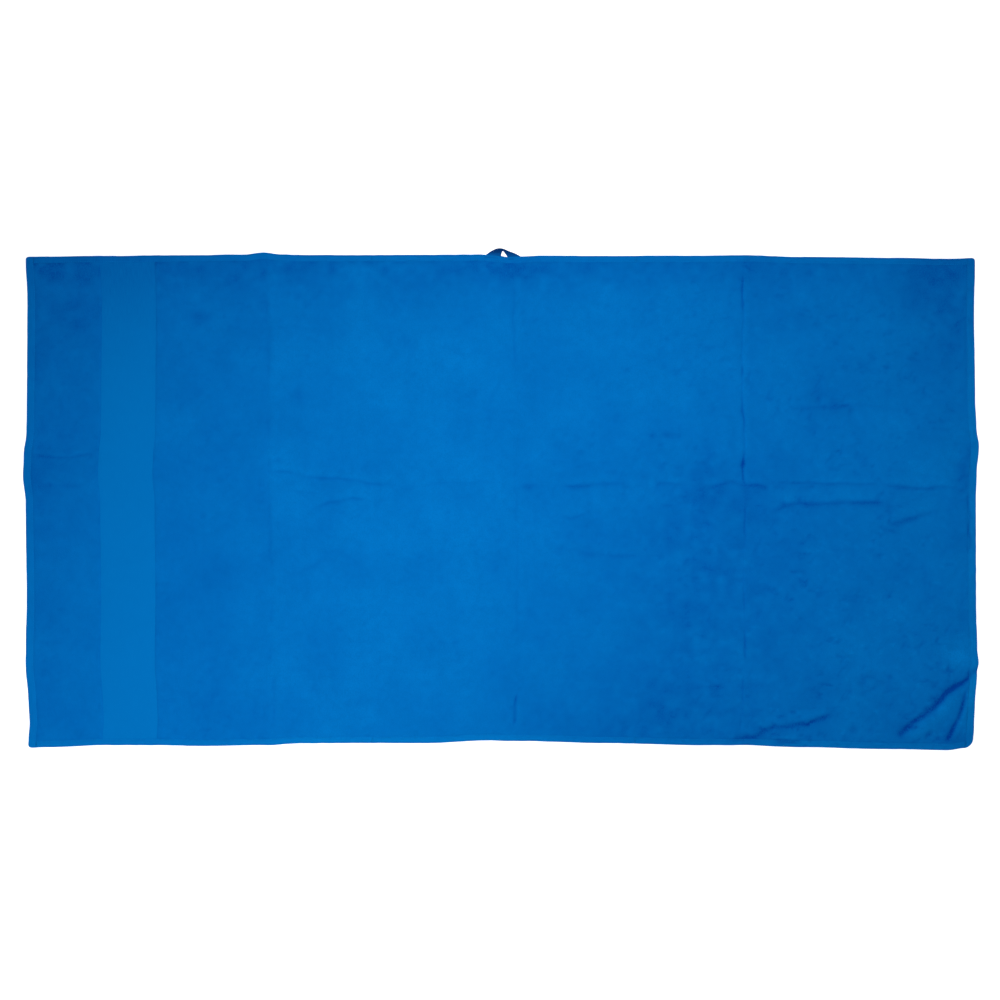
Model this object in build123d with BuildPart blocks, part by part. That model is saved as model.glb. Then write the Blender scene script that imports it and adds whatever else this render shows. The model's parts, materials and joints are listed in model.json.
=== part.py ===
"""Quick-dry terry towel, laid flat, with a dobby border, sewn hems and a hanging loop.

The frame is in millimetres. The origin is at the middle of the towel's underside, +X runs along its length
away from the border, +Y runs across it to the edge that carries the loop, and +Z is up out of its face.
The cloth is divided at its three cross creases into four panels that fold over each other.
"""
import os

from build123d import *

# The cloth
towel_length = 1400.0
towel_width = 720.0
terry_thickness = 3.2
border_width = 80.0
border_thickness = 1.4
border_from_end = 110.0

# The hems: the cloth turned under twice and stitched
side_hem_width = 10.0
end_hem_width = 12.0
hem_thickness = 2.4
hem_edge_round = 0.9
corner_round = 5.0

# The stitching that holds the hems
seam_width = 0.6
seam_height = 0.25
seam_inset = 1.6
seam_end_margin = 3.0

# The cross creases
centre_crease_x = 22.0
left_end_gap = 18.0
right_end_gap = 1.0
crease_gap = 0.3
pile_gap = 3.2
stack_gap = 1.6

# The hanging loop: a woven tape with both ends caught in the loop-side hem
tape_thickness = 1.2
loop_span = 45.0
loop_rise = 12.0
loop_right_inset = 1.0
loop_gap_at_hem = 0.4
loop_pivot_out = 1.0
apex_inset_left = 17.0
apex_length = 9.0
apex_round = 2.5
left_foot_width = 22.0
right_foot_width = 10.0
gap_rise = 9.4
gap_top_length = 4.0
gap_left_lean = 2.5
tape_end_depth = 7.5
tape_end_margin = 1.0
bar_tack_width = 1.4
bar_tack_height = 0.3

# Places that follow from the sizes
half_length = towel_length / 2
half_width = towel_width / 2
hem_underside = (terry_thickness - hem_thickness) / 2
hem_face = hem_underside + hem_thickness
border_underside = (terry_thickness - border_thickness) / 2
left_crease_x = (centre_crease_x - left_end_gap - half_length) / 2
right_crease_x = (centre_crease_x + right_end_gap + half_length) / 2
border_start_x = border_from_end - half_length
border_end_x = border_start_x + border_width
left_hem_x = end_hem_width - half_length
right_hem_x = half_length - end_hem_width
terry_half_width = half_width - side_hem_width
half_crease = crease_gap / 2
quarter_fold_z = terry_thickness + pile_gap / 2
centre_fold_z = 2 * quarter_fold_z + stack_gap / 2
tape_underside = (terry_thickness - tape_thickness) / 2
loop_right_x = centre_crease_x - loop_right_inset
loop_left_x = loop_right_x - loop_span
loop_inner_y = half_width + loop_gap_at_hem
loop_outer_y = half_width + loop_rise
gap_left_x = loop_left_x + left_foot_width
gap_right_x = loop_right_x - right_foot_width

# Each folding panel as its start and end along the towel, between the end hems
panels = {
    "left_quarter": (left_hem_x, left_crease_x - half_crease),
    "centre_left": (left_crease_x + half_crease, centre_crease_x - half_crease),
    "centre_right": (centre_crease_x + half_crease, right_crease_x - half_crease),
    "right_quarter": (right_crease_x + half_crease, right_hem_x),
}

# Each stretch of terry as its start and end; the border divides the left quarter's terry in two
terry_stretches = {
    "terry_left_end": (left_hem_x, border_start_x),
    "terry_left_quarter": (border_end_x, left_crease_x - half_crease),
    "terry_centre_left": panels["centre_left"],
    "terry_centre_right": panels["centre_right"],
    "terry_right_quarter": panels["right_quarter"],
}

# The two long edges: the side each lies on, +1 for the edge that carries the loop
side_edges = {"loop_side": 1, "plain_side": -1}

# The tape's two sewn ends, as the start and end of each along the hem
tape_ends = {
    "left": (loop_left_x + tape_end_margin, gap_left_x - tape_end_margin),
    "right": (gap_right_x + tape_end_margin, loop_right_x - tape_end_margin),
}


def save(part, name):
    """Label a finished piece and write it as parts/NAME.step."""
    part.label = name
    export_step(part, f"parts/{name}.step")


def middle(start, end):
    """Return the midpoint of a stretch."""
    return (start + end) / 2


os.makedirs("parts", exist_ok=True)

# Terry: looped pile on both faces of the ground weave
for name, (start, end) in terry_stretches.items():
    with BuildPart() as terry:
        with BuildSketch(Plane.XY):
            with Locations((middle(start, end), 0)):
                Rectangle(end - start, 2 * terry_half_width)
        extrude(amount=terry_thickness)
    save(terry.part, name)

# Dobby border: a flat woven band with no pile, sunk between the pile on each side of it
with BuildPart() as dobby_border:
    with BuildSketch(Plane.XY.offset(border_underside)):
        with Locations((middle(border_start_x, border_end_x), 0)):
            Rectangle(border_width, 2 * terry_half_width)
    extrude(amount=border_thickness)
save(dobby_border.part, "dobby_border")

# Side hems: one stretch on each panel, rounded along the outer edge, with a pocket for each tape end
for edge_name, side in side_edges.items():
    for panel_name, (start, end) in panels.items():
        with BuildPart() as side_hem:
            with BuildSketch(Plane.XY.offset(hem_underside)):
                with Locations((middle(start, end), side * (half_width - side_hem_width / 2))):
                    Rectangle(end - start, side_hem_width)
            extrude(amount=hem_thickness)
            outer_face = side_hem.faces().sort_by(Axis.Y)[-1 if side > 0 else 0]
            fillet(outer_face.edges().filter_by(Axis.X), hem_edge_round)
            if edge_name == "loop_side" and panel_name == "centre_left":
                with BuildSketch(Plane.XY.offset(tape_underside)):
                    for tape_start, tape_end in tape_ends.values():
                        with Locations((middle(tape_start, tape_end), half_width - tape_end_depth / 2)):
                            Rectangle(tape_end - tape_start, tape_end_depth)
                extrude(amount=tape_thickness, mode=Mode.SUBTRACT)
        save(side_hem.part, f"{edge_name}_hem_{panel_name}")

# End hems: they run the full width and close the corners
for name, end_side in {"end_hem_left": -1, "end_hem_right": 1}.items():
    with BuildPart() as end_hem:
        with BuildSketch(Plane.XY.offset(hem_underside)) as end_hem_outline:
            with Locations((end_side * (half_length - end_hem_width / 2), 0)):
                Rectangle(end_hem_width, towel_width)
            outer_corners = end_hem_outline.vertices().group_by(Axis.X)[-1 if end_side > 0 else 0]
            fillet(outer_corners, corner_round)
        extrude(amount=hem_thickness)
        outer_face = end_hem.faces().filter_by(Axis.X).sort_by(Axis.X)[-1 if end_side > 0 else 0]
        fillet(outer_face.edges().filter_by(Axis.Y), hem_edge_round)
    save(end_hem.part, name)

# Side seams: a row of lock stitches along each side hem, on its face and on its back
for edge_name, side in side_edges.items():
    for panel_name, (start, end) in panels.items():
        seam_y = side * (half_width - side_hem_width + seam_inset)
        with BuildPart() as side_seam:
            with BuildSketch(Plane.XY.offset(hem_face), Plane.XY.offset(hem_underside - seam_height)):
                with Locations((middle(start, end), seam_y)):
                    Rectangle(end - start - 2 * seam_end_margin, seam_width)
            extrude(amount=seam_height)
        save(side_seam.part, f"{edge_name}_seam_{panel_name}")

# End seams: the same stitches across each end hem
for name, seam_x in {"end_seam_left": left_hem_x - seam_inset, "end_seam_right": right_hem_x + seam_inset}.items():
    with BuildPart() as end_seam:
        with BuildSketch(Plane.XY.offset(hem_face), Plane.XY.offset(hem_underside - seam_height)):
            with Locations((seam_x, 0)):
                Rectangle(seam_width, towel_width - 2 * corner_round)
        extrude(amount=seam_height)
    save(end_seam.part, name)

# Hanging loop: the free stretch of tape, which rises from the hem, turns at its top and comes back
with BuildPart() as loop_tape:
    with BuildSketch(Plane.XY.offset(tape_underside)) as loop_outline:
        with BuildLine():
            Polyline(
                (loop_left_x, loop_inner_y),
                (loop_left_x + apex_inset_left, loop_outer_y),
                (loop_left_x + apex_inset_left + apex_length, loop_outer_y),
                (loop_right_x, loop_inner_y),
                close=True,
            )
        make_face()
        fillet(loop_outline.vertices().group_by(Axis.Y)[-1], apex_round)
        with BuildLine(mode=Mode.PRIVATE) as gap_outline:
            Polyline(
                (gap_left_x, half_width),
                (gap_left_x + gap_left_lean, half_width + gap_rise),
                (gap_left_x + gap_left_lean + gap_top_length, half_width + gap_rise),
                (gap_right_x, half_width),
                close=True,
            )
        make_face(gap_outline.edges(), mode=Mode.SUBTRACT)
    extrude(amount=tape_thickness)
save(loop_tape.part, "loop_tape")

# Tape ends: the two ends of the same tape, held between the layers of the hem
for side_name, (tape_start, tape_end) in tape_ends.items():
    with BuildPart() as loop_tape_end:
        with BuildSketch(Plane.XY.offset(tape_underside)):
            with Locations((middle(tape_start, tape_end), half_width - tape_end_depth / 2)):
                Rectangle(tape_end - tape_start, tape_end_depth)
        extrude(amount=tape_thickness)
    save(loop_tape_end.part, f"loop_tape_end_{side_name}")

# Bar tacks: a dense bar of stitches over each tape end, on the hem's face
for side_name, (tape_start, tape_end) in tape_ends.items():
    with BuildPart() as loop_bar_tack:
        with BuildSketch(Plane.XY.offset(hem_face)):
            with Locations((middle(tape_start, tape_end), half_width - tape_end_depth / 2)):
                Rectangle(tape_end - tape_start, bar_tack_width)
        extrude(amount=bar_tack_height)
    save(loop_bar_tack.part, f"loop_bar_tack_{side_name}")

print(f"left fold axis    x {left_crease_x:.2f}  z {quarter_fold_z:.2f}")
print(f"centre fold axis  x {centre_crease_x:.2f}  z {centre_fold_z:.2f}")
print(f"right fold axis   x {right_crease_x:.2f}  z {quarter_fold_z:.2f}")
print(f"loop axis         y {half_width + loop_pivot_out:.2f}  z {middle(hem_underside, hem_face):.2f}")
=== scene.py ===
"""Looks of a quick-dry terry towel that lies flat: pile, woven border, sewn hems, stitches and hanging loop.

The cloth is worked out in flat coordinates, u along the towel and v across it, in millimetres, as it was cut.
Cloth.place carries them to where the cloth lies, and every piece of cloth reads its heights from the same
Cloth, so pieces that meet keep one surface.
"""
import sys
import json
import logging
import math
from dataclasses import dataclass, field
from enum import Enum
from typing import NamedTuple

import bpy
import numpy as np
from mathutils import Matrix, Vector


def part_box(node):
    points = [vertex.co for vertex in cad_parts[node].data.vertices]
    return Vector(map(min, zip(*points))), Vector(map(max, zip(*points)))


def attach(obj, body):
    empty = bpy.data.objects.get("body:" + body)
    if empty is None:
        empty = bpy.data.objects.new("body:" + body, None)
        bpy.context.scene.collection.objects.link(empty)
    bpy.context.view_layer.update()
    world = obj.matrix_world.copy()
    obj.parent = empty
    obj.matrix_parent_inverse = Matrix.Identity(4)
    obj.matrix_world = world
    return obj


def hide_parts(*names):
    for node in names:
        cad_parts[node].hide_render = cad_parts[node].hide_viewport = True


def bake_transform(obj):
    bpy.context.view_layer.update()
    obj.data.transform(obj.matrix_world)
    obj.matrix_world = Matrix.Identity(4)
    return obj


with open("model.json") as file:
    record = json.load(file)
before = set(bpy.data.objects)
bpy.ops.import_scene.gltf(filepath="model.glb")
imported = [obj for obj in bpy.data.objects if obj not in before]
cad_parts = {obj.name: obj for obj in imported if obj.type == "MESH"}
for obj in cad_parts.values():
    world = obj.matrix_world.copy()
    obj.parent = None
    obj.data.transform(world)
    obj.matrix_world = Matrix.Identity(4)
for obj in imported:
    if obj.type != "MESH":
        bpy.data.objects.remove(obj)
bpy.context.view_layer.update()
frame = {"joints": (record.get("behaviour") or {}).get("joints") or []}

MM = 0.001
LOG = logging.getLogger("towel")

# Small sizes in millimetres that more than one piece follows
TUCK = 0.4  # how far the terry runs in under a hem
LAP = 0.3  # how far the terry runs in under the border
HEM_OVERRUN = 0.6  # how far a side hem runs on over an end hem
THINNEST = 0.6  # the least thickness of the cloth
SEAM_STOP = 6.0  # how far short of the edge an end seam stops
TACK_PITCH = 0.75  # from one stitch of a bar tack to the next
TACK_SWING = 0.5  # how far a bar tack zigzags each way

Array = np.ndarray
Point = tuple[float, float]


class Body(str, Enum):
    """The rigid bodies of the frame that pieces ride on."""

    LEFT_QUARTER = "left_quarter"
    CENTRE_LEFT = "centre_left"
    CENTRE_RIGHT = "centre_right"
    RIGHT_QUARTER = "right_quarter"
    LOOP = "hanging_loop"


class Side(Enum):
    """A long edge of the towel, with the sign of v there."""

    LOOP_SIDE = 1
    PLAIN_SIDE = -1


# ---- Numbers over arrays ----


def smooth(t: Array) -> Array:
    """Ease t from 0 to 1 with level ends: 3t^2 - 2t^3 of t held between 0 and 1."""
    t = np.clip(t, 0.0, 1.0)
    return t * t * (3.0 - 2.0 * t)


def eased_line(points: list[Point], at: Array) -> Array:
    """Read a curve through given points, level at each of them and eased in between.

    Args:
        points: (place, value) pairs in rising order of place.
        at: the places to read.

    Returns:
        The value at each place: between two points, the first plus their difference times smooth(share).
    """
    place, value = np.array(points, float).T
    i = np.clip(np.searchsorted(place, at, side="right") - 1, 0, len(place) - 2)
    share = (at - place[i]) / (place[i + 1] - place[i])
    return value[i] + (value[i + 1] - value[i]) * smooth(share)


def lattice(i: Array, j: Array, seed: int) -> Array:
    """Give each whole-number pair a fixed value from -1 to 1, by mixing its bits with the seed."""
    n = (i.astype(np.int64) * 374761393 + j.astype(np.int64) * 668265263 + seed * 2246822519) & 0xFFFFFFFF
    n = ((n ^ (n >> 13)) * 1274126177) & 0xFFFFFFFF
    n = ((n ^ (n >> 16)) * 2654435761) & 0xFFFFFFFF
    return (n ^ (n >> 15)).astype(float) / 0x7FFFFFFF - 1.0


def noise(u: Array, v: Array, cell: float, seed: int) -> Array:
    """Smooth noise from -1 to 1: lattice values cell apart, eased between the four around each point."""
    x, y = u / cell, v / cell
    i, j = np.floor(x), np.floor(y)
    a, b = smooth(x - i), smooth(y - j)
    low = lattice(i, j, seed) * (1 - a) + lattice(i + 1, j, seed) * a
    high = lattice(i, j + 1, seed) * (1 - a) + lattice(i + 1, j + 1, seed) * a
    return low * (1 - b) + high * b


def layered_noise(u: Array, v: Array, cell: float, layers: int, seed: int) -> Array:
    """Add layers of noise, each of 0.55 of the last one's size and strength, turned a little from it."""
    total, strength, reach = np.zeros_like(u), 1.0, 0.0
    for k in range(layers):
        turn = 0.7 * k
        along = u * math.cos(turn) - v * math.sin(turn)
        across = u * math.sin(turn) + v * math.cos(turn)
        total += strength * noise(along, across, cell * 0.55**k, seed + k)
        reach += strength
        strength *= 0.55
    return total / reach


def off_line(points: list[Point], x: Array, y: Array) -> tuple[Array, Array, Array]:
    """Measure every place against a line of straight runs.

    Args:
        points: the line's points, in order.
        x, y: the places.

    Returns:
        The distance to the line, the side (positive to the left of its direction), and the share of the
        line's length at the nearest point.
    """
    ends = np.array(points, float)
    runs = np.hypot(*(ends[1:] - ends[:-1]).T)
    passed = np.concatenate([[0.0], np.cumsum(runs)])
    best = np.full(x.shape, np.inf)
    side, share = np.zeros_like(x), np.zeros_like(x)
    for k, run in enumerate(runs):
        (ax, ay), (bx, by) = ends[k], ends[k + 1]
        dx, dy = (bx - ax) / run, (by - ay) / run
        along = np.clip((x - ax) * dx + (y - ay) * dy, 0.0, run)
        ex, ey = x - ax - along * dx, y - ay - along * dy
        distance = np.hypot(ex, ey)
        nearer = distance < best
        best = np.where(nearer, distance, best)
        side = np.where(nearer, np.sign(dx * ey - dy * ex), side)
        share = np.where(nearer, (passed[k] + along) / passed[-1], share)
    return best, side, share


# ---- How the cloth lies ----


@dataclass(frozen=True)
class Crease:
    """A fold line left in the cloth, or a wrinkle that stands up from it.

    Attributes:
        points: the line, in flat millimetres.
        groove: how deep the line is pressed in.
        ridge: how high the cloth stands beside it, on the left of its direction.
        width: how far the ridge reaches; the groove is 0.4 of it.
        fade: the share of the length over which each end dies away.
        shade: how much painted shade darkens the pile down in the groove, from 0 to 1; 0.22 of it, as painted
            highlight, lightens the ridge.
        broken: the share of the shade that comes and goes along the line.
    """

    points: list[Point]
    groove: float = 0.5
    ridge: float = 0.4
    width: float = 6.0
    fade: float = 0.2
    shade: float = 0.5
    broken: float = 0.5

    def shape(self, u: Array, v: Array) -> tuple[Array, Array]:
        """Give the height that the crease adds, and its painted shade and highlight.

        Across the line, the groove is a bell with a wider, fainter one round it, and the ridge is a bell
        0.9 of the width to the left. Both die away at the ends. Noise makes the line wander by up to 2 mm,
        the groove's width change by a third, and the shade come and go.
        """
        low_u, low_v = np.min(self.points, axis=0) - 4 * self.width
        high_u, high_v = np.max(self.points, axis=0) + 4 * self.width
        near = (u > low_u) & (u < high_u) & (v > low_v) & (v < high_v)
        height, shade = np.zeros_like(u), np.zeros_like(u)
        if not near.any():
            return height, shade
        un, vn = u[near], v[near]
        distance, side, share = off_line(
            self.points, un + 1.6 * noise(un, vn, 19.0, 94), vn + 1.9 * noise(un, vn, 24.0, 91)
        )
        ends = smooth(share / self.fade) * smooth((1 - share) / self.fade) if self.fade > 0 else 1.0
        kept = 1 - self.broken * smooth(0.5 + 1.1 * noise(un, vn, 21.0, 93))
        line = np.exp(-((distance / (self.width * (0.4 + 0.14 * noise(un, vn, 13.0, 95)))) ** 2))
        around = np.exp(-((distance / (1.1 * self.width)) ** 2))
        bank = np.exp(-((side * distance / self.width - 0.9) ** 2))
        height[near] = ends * (self.ridge * bank - self.groove * (0.8 * line + 0.2 * around))
        # Painted shade down in the groove, less painted highlight on the ridge beside it
        shade[near] = ends * self.shade * (kept * (0.85 * line + 0.15 * around) - 0.22 * bank)
        return height, shade


@dataclass(frozen=True)
class PaintedShadePatch:
    """A patch of painted shade that makes the cloth look darker, or of painted highlight that makes it look
    lighter.

    Attributes:
        middle: its place, in flat millimetres.
        reach: how far it spreads along u and along v.
        shade: how much darker its painted shade makes it; below 0, how much lighter its painted highlight
            makes it.
    """

    middle: Point
    reach: Point
    shade: float

    def tone(self, u: Array, v: Array) -> Array:
        """Give its shade, a bell about the middle."""
        away = ((u - self.middle[0]) / self.reach[0]) ** 2 + ((v - self.middle[1]) / self.reach[1]) ** 2
        return self.shade * np.exp(-away)


# The lengthwise crease down the middle, the three cross creases, and the wrinkles that lie on the cloth
CREASES = [
    Crease([(-348, 44), (-300, 37), (-258, 32), (-211, 26), (-150, 21)], 0.35, 0.35, 6.0, 0.12, 0.27, 0.75),
    Crease([(-150, 21), (-70, 22), (-20, 23), (30, 20)], 0.2, 0.2, 5.0, 0.3, 0.16),
    Crease([(-311, 13), (-288, 9), (-264, 8)], 0.3, 0.35, 6.0, 0.3, 0.22),
    Crease([(-281, -15), (-252, -5), (-223, 0), (-190, -1)], 0.4, 0.4, 6.5, 0.25, 0.32),
    Crease(
        [(-307, -114), (-274, -97), (-260, -82), (-240, -75), (-220, -89), (-196, -103)],
        0.25, 0.3, 9.0, 0.2, 0.12,
    ),
    Crease([(87, 18), (128, 20), (150, 24), (187, 23)], 0.35, 0.4, 6.5, 0.2, 0.34),
    Crease([(225, 16), (231, 23), (261, 25), (276, 24)], 0.3, 0.3, 6.0, 0.25, 0.22),
    Crease(
        [(300, 12), (309, 20), (324, 23), (342, 26), (361, 22), (379, 22), (401, 16)],
        0.6, 0.6, 7.5, 0.2, 0.38, 0.5,
    ),
    Crease([(402, 24), (421, 27), (494, 27), (560, 27)], 0.5, 0.3, 5.0, 0.12, 0.38),
    Crease([(555, 27), (571, 27), (612, 24), (676, 24)], 0.5, 0.4, 6.5, 0.15, 0.40, 0.5),
    Crease(
        [(394, -19), (402, -14), (415, -9), (429, -5), (454, -2), (491, -1), (530, 0), (572, -1)],
        0.8, 0.8, 9.0, 0.13, 0.56, 0.4,
    ),
    Crease([(565, -30), (590, -27), (612, -20), (650, -8)], 0.6, 0.6, 9.0, 0.2, 0.42, 0.5),
    Crease([(85, -25), (108, -28), (128, -21)], 0.35, 0.4, 6.5, 0.3, 0.28),
    Crease([(104, -73), (132, -82), (213, -84)], 0.35, 0.5, 10.0, 0.25, 0.22),
    Crease([(231, -8), (259, -10)], 0.4, 0.4, 6.0, 0.3, 0.25),
    Crease([(278, -15), (306, -19)], 0.4, 0.4, 6.0, 0.3, 0.28),
    Crease([(385, -50), (371, -82)], 0.3, 0.5, 6.0, 0.3, 0.25),
    Crease([(424, 140), (486, 138), (530, 146), (590, 140)], 0.4, 0.5, 7.0, 0.3, 0.30, 0.7),
    Crease([(-697, 68), (-660, 66), (-630, 64), (-592, 69)], 0.5, 0.4, 6.0, 0.12, 0.24, 0.7),
    Crease([(-694, 23), (-640, 24), (-596, 22)], 0.3, 0.3, 8.0, 0.3, 0.12),
    Crease([(356.5, 345), (357, 200), (356, 50), (357.5, 10)], 0.7, 0.3, 4.5, 0.08, 0.44, 0.75),
    Crease([(359, 10), (358, -90), (357, -180)], 0.4, 0.3, 4.0, 0.15, 0.22, 0.8),
    Crease([(357, -185), (357.5, -238)], 0.5, 0.3, 5.0, 0.2, 0.36, 0.3),
    Crease([(356, -248), (355, -350)], 0.3, 0.3, 4.0, 0.2, 0.2),
    Crease(
        [(-349, 352), (-344, 180), (-342, 40), (-339, -140), (-338, -352)],
        0.4, 0.5, 9.0, 0.05, 0.13, 0.9,
    ),
    Crease([(18, 352), (19, 240), (20, 160)], 0.3, 0.25, 6.0, 0.2, 0.16, 0.8),
    Crease([(22, 60), (23, -60), (24, -290)], 0.2, 0.2, 6.0, 0.2, 0.10, 0.8),
    Crease([(24, -286), (20, -312), (19, -342)], 0.6, 0.4, 5.0, 0.25, 0.50),
    Crease(
        [(712, -244), (692, -248), (685, -260), (671, -267), (656, -276), (638, -299), (622, -311),
         (593, -335), (584, -344)],
        1.8, 2.0, 13.0, 0.06, 1.00, 0.3,
    ),
    Crease([(688, -262), (682, -295), (677, -314), (666, -334), (656, -353)], 1.4, 1.4, 8.0, 0.2, 0.90, 0.5),
    Crease(
        [(328, -355), (350, -352), (378, -346), (389, -337), (422, -330), (452, -326), (467, -318),
         (497, -310)],
        0.8, 0.9, 9.0, 0.15, 0.66, 0.4,
    ),
    Crease([(398, -351), (420, -353), (448, -351)], 0.6, 0.6, 6.0, 0.3, 0.60),
    Crease([(689, 20), (690, -30), (690, -82)], 0.4, 0.2, 4.0, 0.2, 0.60, 0.3),
]

# Patches of painted shade, mostly towards the edges and corners and at crease knots, and with a shade below 0
# of painted highlight beside the plain corner's wrinkles
PAINTED_SHADE_PATCHES = [
    PaintedShadePatch((39, 18), (10, 5), 0.20),
    PaintedShadePatch((302, 63), (8, 15), 0.16),
    PaintedShadePatch((356, 53), (4, 6), 0.45),
    PaintedShadePatch((681, 42), (11, 32), 0.30),
    PaintedShadePatch((-444, 266), (14, 9), 0.22),
    PaintedShadePatch((-296, 152), (16, 12), 0.12),
    PaintedShadePatch((14, 340), (42, 12), 0.22),
    PaintedShadePatch((-620, 330), (170, 110), 0.16),
    PaintedShadePatch((-682, 60), (60, 170), 0.14),
    PaintedShadePatch((0, 352), (900, 44), 0.20),
    PaintedShadePatch((-260, 340), (110, 60), 0.06),
    PaintedShadePatch((190, -330), (190, 70), 0.16),
    PaintedShadePatch((660, 310), (50, 80), 0.22),
    PaintedShadePatch((310, -150), (120, 180), 0.20),
    PaintedShadePatch((300, 20), (110, 70), 0.12),
    PaintedShadePatch((340, -345), (70, 14), 0.12),
    PaintedShadePatch((560, -352), (60, 12), 0.12),
    PaintedShadePatch((676, -346), (26, 16), 0.22),
    PaintedShadePatch((648, -292), (18, 14), -0.14),
    PaintedShadePatch((675, -225), (16, 20), -0.18),
    PaintedShadePatch((600, -262), (34, 20), -0.06),
    PaintedShadePatch((-130, 230), (90, 60), -0.06),
    PaintedShadePatch((-60, 170), (60, 40), -0.07),
]

# Painted shade over the panels between the cross creases, for each panel's tilt and the lamps' falloff: how
# much darker each looks, as (u, shade), eased from each to the next
PAINTED_PANEL_SHADE = [
    (-700.0, 0.18), (-430.0, 0.15), (-350.0, 0.12), (-338.0, 0.05), (17.0, 0.05), (23.0, 0.07), (355.0, 0.07),
    (360.0, 0.13), (700.0, 0.13),
]


class Unevenness(NamedTuple):
    """What a kind of unevenness adds where its noise is 1: height in millimetres, and painted shade, or below
    0 painted highlight.
    """

    height: float
    shade: float


# Painted highlight where swells and tufts stand up and painted shade where they sink, painted shade down in
# dents, and painted glints that have no height
SWELLS = Unevenness(0.10, -0.11)
TUFTS = Unevenness(0.22, -0.08)
DENTS = Unevenness(0.8, -0.51)
GLINTS = Unevenness(0.0, -0.35)

# How far each edge of the lying towel stands from its straight line: +y or +x, against x or y
LOOP_EDGE = [
    (-712, 0.0), (-592, 1.2), (-445, 2.4), (-378, 3.4), (-349, 6.4), (-322, 3.6), (-290, 2.6), (-150, 2.6),
    (-31, 3.6), (-2, 1.4), (10, -0.2), (31, 0.6), (60, 1.8), (150, 1.3), (300, 1.6), (358, 2.4),
    (442, -0.2), (589, -1.6), (663, -3.0), (712, -1.2),
]
PLAIN_EDGE = [
    (-712, -5.6), (-666, -4.1), (-592, -1.4), (-510, -1.3), (-445, -2.7), (-349, -1.2), (-297, 1.6),
    (-100, 2.0), (-20, 5.8), (10, 4.8), (43, 4.7), (150, 1.8), (294, -1.2), (360, -1.4), (442, -4.1),
    (589, -7.1), (663, -8.4), (690, -5.4), (712, -3.0),
]
LEFT_EDGE = [
    (-368, 1.3), (-346, 2.8), (-324, 4.3), (-295, 2.8), (-235, -1.6), (-147, 0.0), (0, -1.6), (38, -5.3),
    (67, -4.4), (104, -0.6), (148, 0.2), (296, 1.3), (352, -1.4), (368, -1.6),
]
RIGHT_EDGE = [
    (-368, -5.0), (-350, -2.6), (-330, -1.4), (-295, 0.2), (-250, 3.0), (-236, 5.6), (-214, 3.6), (-147, 1.6),
    (0, 1.6), (44, 2.4), (82, 5.8), (112, 2.0), (148, 0.2), (296, -1.2), (352, 0.0), (368, 0.0),
]


def corners_of(*nodes: str) -> tuple[Array, Array]:
    """Return the lowest and highest corners of the box round some CAD nodes, in millimetres."""
    boxes = [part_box(node) for node in nodes]
    low = np.min([np.array(b[0]) for b in boxes], axis=0) / MM
    high = np.max([np.array(b[1]) for b in boxes], axis=0) / MM
    return low, high


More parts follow.
